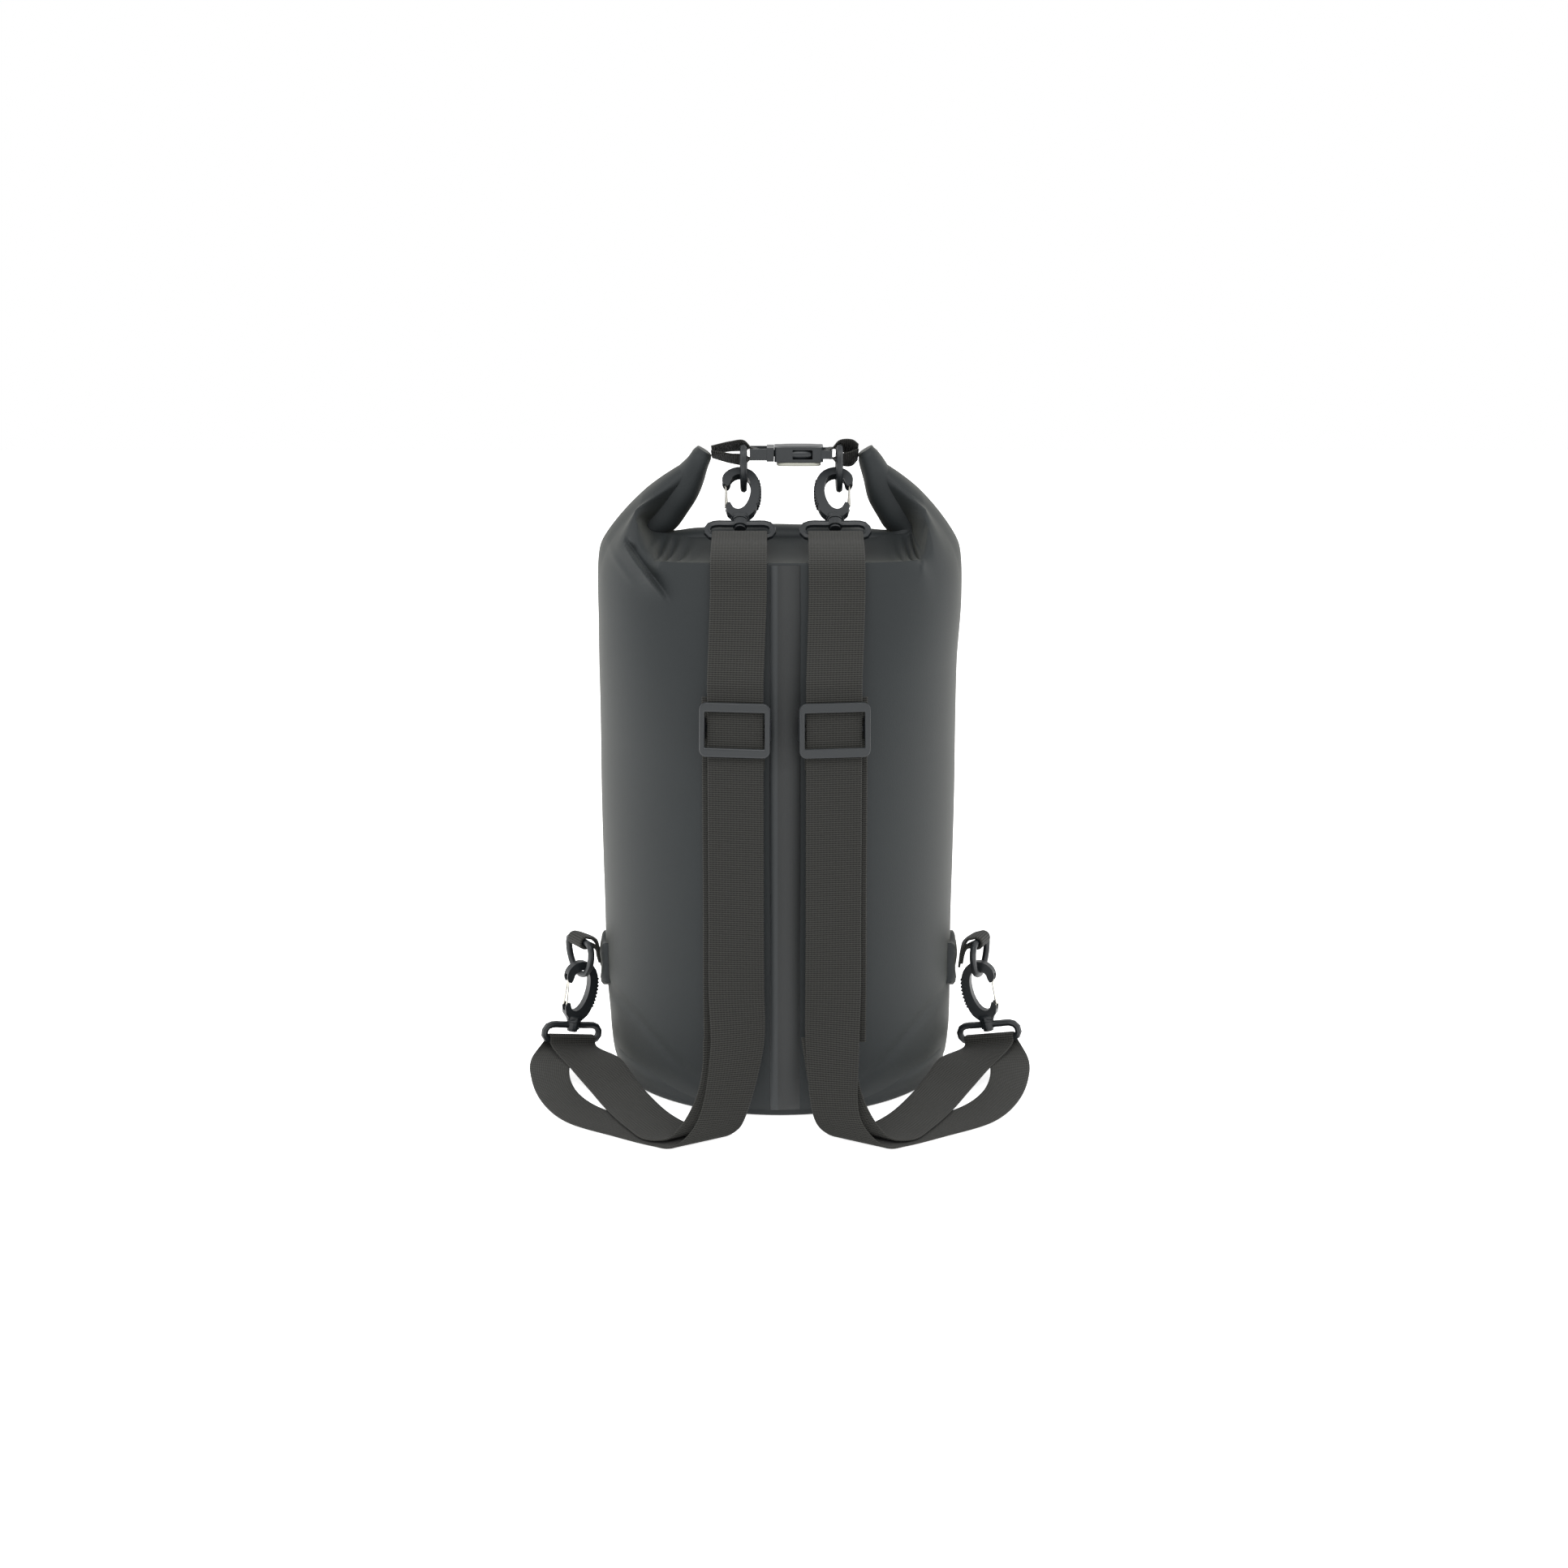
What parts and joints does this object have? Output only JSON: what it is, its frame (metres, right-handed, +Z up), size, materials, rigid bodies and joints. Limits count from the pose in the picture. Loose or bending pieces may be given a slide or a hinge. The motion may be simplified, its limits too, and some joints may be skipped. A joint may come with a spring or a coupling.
{
  "type": "roll-top dry bag",
  "caption": "Round roll-top dry bag for rope, with a side-release buckle handle and removable webbing shoulder straps on swivel snap hooks.",
  "frame": {"origin": "centre of the flat underside of the base", "axes": "+Z up along the bag; the strap side faces -Y; +X is to the right of someone facing the straps"},
  "size_m": [0.3688, 0.3096, 0.4612],
  "materials": {
    "coated_fabric": "matt coated woven fabric",
    "seam_tape": "welded coated tape",
    "webbing": "ribbed woven webbing",
    "moulded_plastic": "moulded acetal",
    "pale_plastic": "moulded pale plastic",
    "stiffener_plastic": "extruded plastic strip",
    "gate_wire": "bright spring wire"
  },
  "bodies": {
    "root": {"base_panel": "coated_fabric", "bag_tube": "coated_fabric", "seam_tape": "seam_tape", "closure_roll": "coated_fabric", "mouth_stiffener": "stiffener_plastic", "buckle_socket": "moulded_plastic", "buckle_socket_underside": "pale_plastic", "buckle_plug": "moulded_plastic", "closure_webbing_left": "webbing", "top_swivel_loop_left": "moulded_plastic", "lower_swivel_loop_left": "moulded_plastic", "side_patch_left": "coated_fabric", "side_tab_left": "webbing", "shoulder_strap_left": "webbing", "strap_return_left": "webbing", "closure_webbing_right": "webbing", "top_swivel_loop_right": "moulded_plastic", "lower_swivel_loop_right": "moulded_plastic", "side_patch_right": "coated_fabric", "side_tab_right": "webbing", "shoulder_strap_right": "webbing", "strap_return_right": "webbing"},
    "top_hook_left": {"top_hook_left": "moulded_plastic"},
    "top_gate_left": {"top_gate_left": "gate_wire"},
    "top_d_ring_left": {"top_d_ring_left": "moulded_plastic"},
    "lower_hook_left": {"lower_hook_left": "moulded_plastic"},
    "lower_gate_left": {"lower_gate_left": "gate_wire"},
    "side_d_ring_left": {"side_d_ring_left": "moulded_plastic"},
    "slider_left": {"slider_left": "moulded_plastic", "strap_end_left": "webbing"},
    "top_hook_right": {"top_hook_right": "moulded_plastic"},
    "top_gate_right": {"top_gate_right": "gate_wire"},
    "top_d_ring_right": {"top_d_ring_right": "moulded_plastic"},
    "lower_hook_right": {"lower_hook_right": "moulded_plastic"},
    "lower_gate_right": {"lower_gate_right": "gate_wire"},
    "side_d_ring_right": {"side_d_ring_right": "moulded_plastic"},
    "slider_right": {"slider_right": "moulded_plastic", "strap_end_right": "webbing"},
    "prong_front": {"buckle_prong_front": "moulded_plastic"},
    "prong_rear": {"buckle_prong_rear": "moulded_plastic"}
  },
  "joints": [
    {"name": "top_hook_left_swivel", "type": "hinge", "parent": "root", "child": "top_hook_left", "pos_m": [-0.0275, -0.0412, 0.4048], "axis": [0, 0.7071, 0.7071], "range_deg": [-6, 6]},
    {"name": "top_gate_left_open", "type": "hinge", "parent": "top_hook_left", "child": "top_gate_left", "pos_m": [-0.0367, -0.0313, 0.4147], "axis": [0, 0.7071, -0.7071], "range_deg": [0, 24], "stiffness_Nm_per_rad": 0.01, "springref_deg": -5.73},
    {"name": "top_d_ring_left_swing", "type": "hinge", "parent": "root", "child": "top_d_ring_left", "pos_m": [-0.0255, 0, 0.4509], "axis": [0, 0.9397, -0.342], "range_deg": [-1, 4]},
    {"name": "lower_hook_left_swivel", "type": "hinge", "parent": "root", "child": "lower_hook_left", "pos_m": [-0.15352, -0.01991, 0.03145], "axis": [0.1744, 0.1132, 0.9781], "range_deg": [-6, 6]},
    {"name": "lower_gate_left_open", "type": "hinge", "parent": "lower_hook_left", "child": "lower_gate_left", "pos_m": [-0.15862, -0.02322, 0.04706], "axis": [-0.5446, 0.8387, 0], "range_deg": [0, 24], "stiffness_Nm_per_rad": 0.01, "springref_deg": -5.73},
    {"name": "side_d_ring_left_swing", "type": "hinge", "parent": "root", "child": "side_d_ring_left", "pos_m": [-0.1475, -0.016, 0.096], "axis": [-0.5446, 0.8387, 0], "range_deg": [-1.2, 1.2]},
    {"name": "slider_left_travel", "type": "slide", "parent": "root", "child": "slider_left", "axis": [0.0078, 0.0553, 0.9984], "range_m": [-0.1, 0.004]},
    {"name": "top_hook_right_swivel", "type": "hinge", "parent": "root", "child": "top_hook_right", "pos_m": [0.0385, -0.0412, 0.4048], "axis": [0, 0.7071, 0.7071], "range_deg": [-6, 6]},
    {"name": "top_gate_right_open", "type": "hinge", "parent": "top_hook_right", "child": "top_gate_right", "pos_m": [0.0477, -0.0313, 0.4147], "axis": [0, -0.7071, 0.7071], "range_deg": [0, 15], "stiffness_Nm_per_rad": 0.01, "springref_deg": -5.73},
    {"name": "top_d_ring_right_swing", "type": "hinge", "parent": "root", "child": "top_d_ring_right", "pos_m": [0.042, 0, 0.4509], "axis": [0, 0.9397, -0.342], "range_deg": [-1, 4]},
    {"name": "lower_hook_right_swivel", "type": "hinge", "parent": "root", "child": "lower_hook_right", "pos_m": [0.15415, -0.01869, 0.03145], "axis": [-0.1928, 0.0779, 0.9781], "range_deg": [-6, 6]},
    {"name": "lower_gate_right_open", "type": "hinge", "parent": "lower_hook_right", "child": "lower_gate_right", "pos_m": [0.15979, -0.02097, 0.04706], "axis": [-0.3746, -0.9272, 0], "range_deg": [0, 24], "stiffness_Nm_per_rad": 0.01, "springref_deg": -5.73},
    {"name": "side_d_ring_right_swing", "type": "hinge", "parent": "root", "child": "side_d_ring_right", "pos_m": [0.1475, -0.016, 0.096], "axis": [0.3746, 0.9272, 0], "range_deg": [-1.2, 1.2]},
    {"name": "slider_right_travel", "type": "slide", "parent": "root", "child": "slider_right", "axis": [-0.0078, 0.0553, 0.9984], "range_m": [-0.1, 0.004]},
    {"name": "prong_front_press", "type": "hinge", "parent": "root", "child": "prong_front", "pos_m": [-0.0035, -0.0085, 0.4505], "axis": [0, 0, 1], "range_deg": [0, 9], "stiffness_Nm_per_rad": 0.05, "springref_deg": -1.72},
    {"name": "prong_rear_press", "type": "hinge", "parent": "root", "child": "prong_rear", "pos_m": [-0.0035, 0.0085, 0.4505], "axis": [0, 0, -1], "range_deg": [0, 9], "stiffness_Nm_per_rad": 0.05, "springref_deg": -1.72}
  ],
  "couplings": [
    {"joint": "prong_rear_press", "follows": "prong_front_press", "ratio": 1}
  ]
}
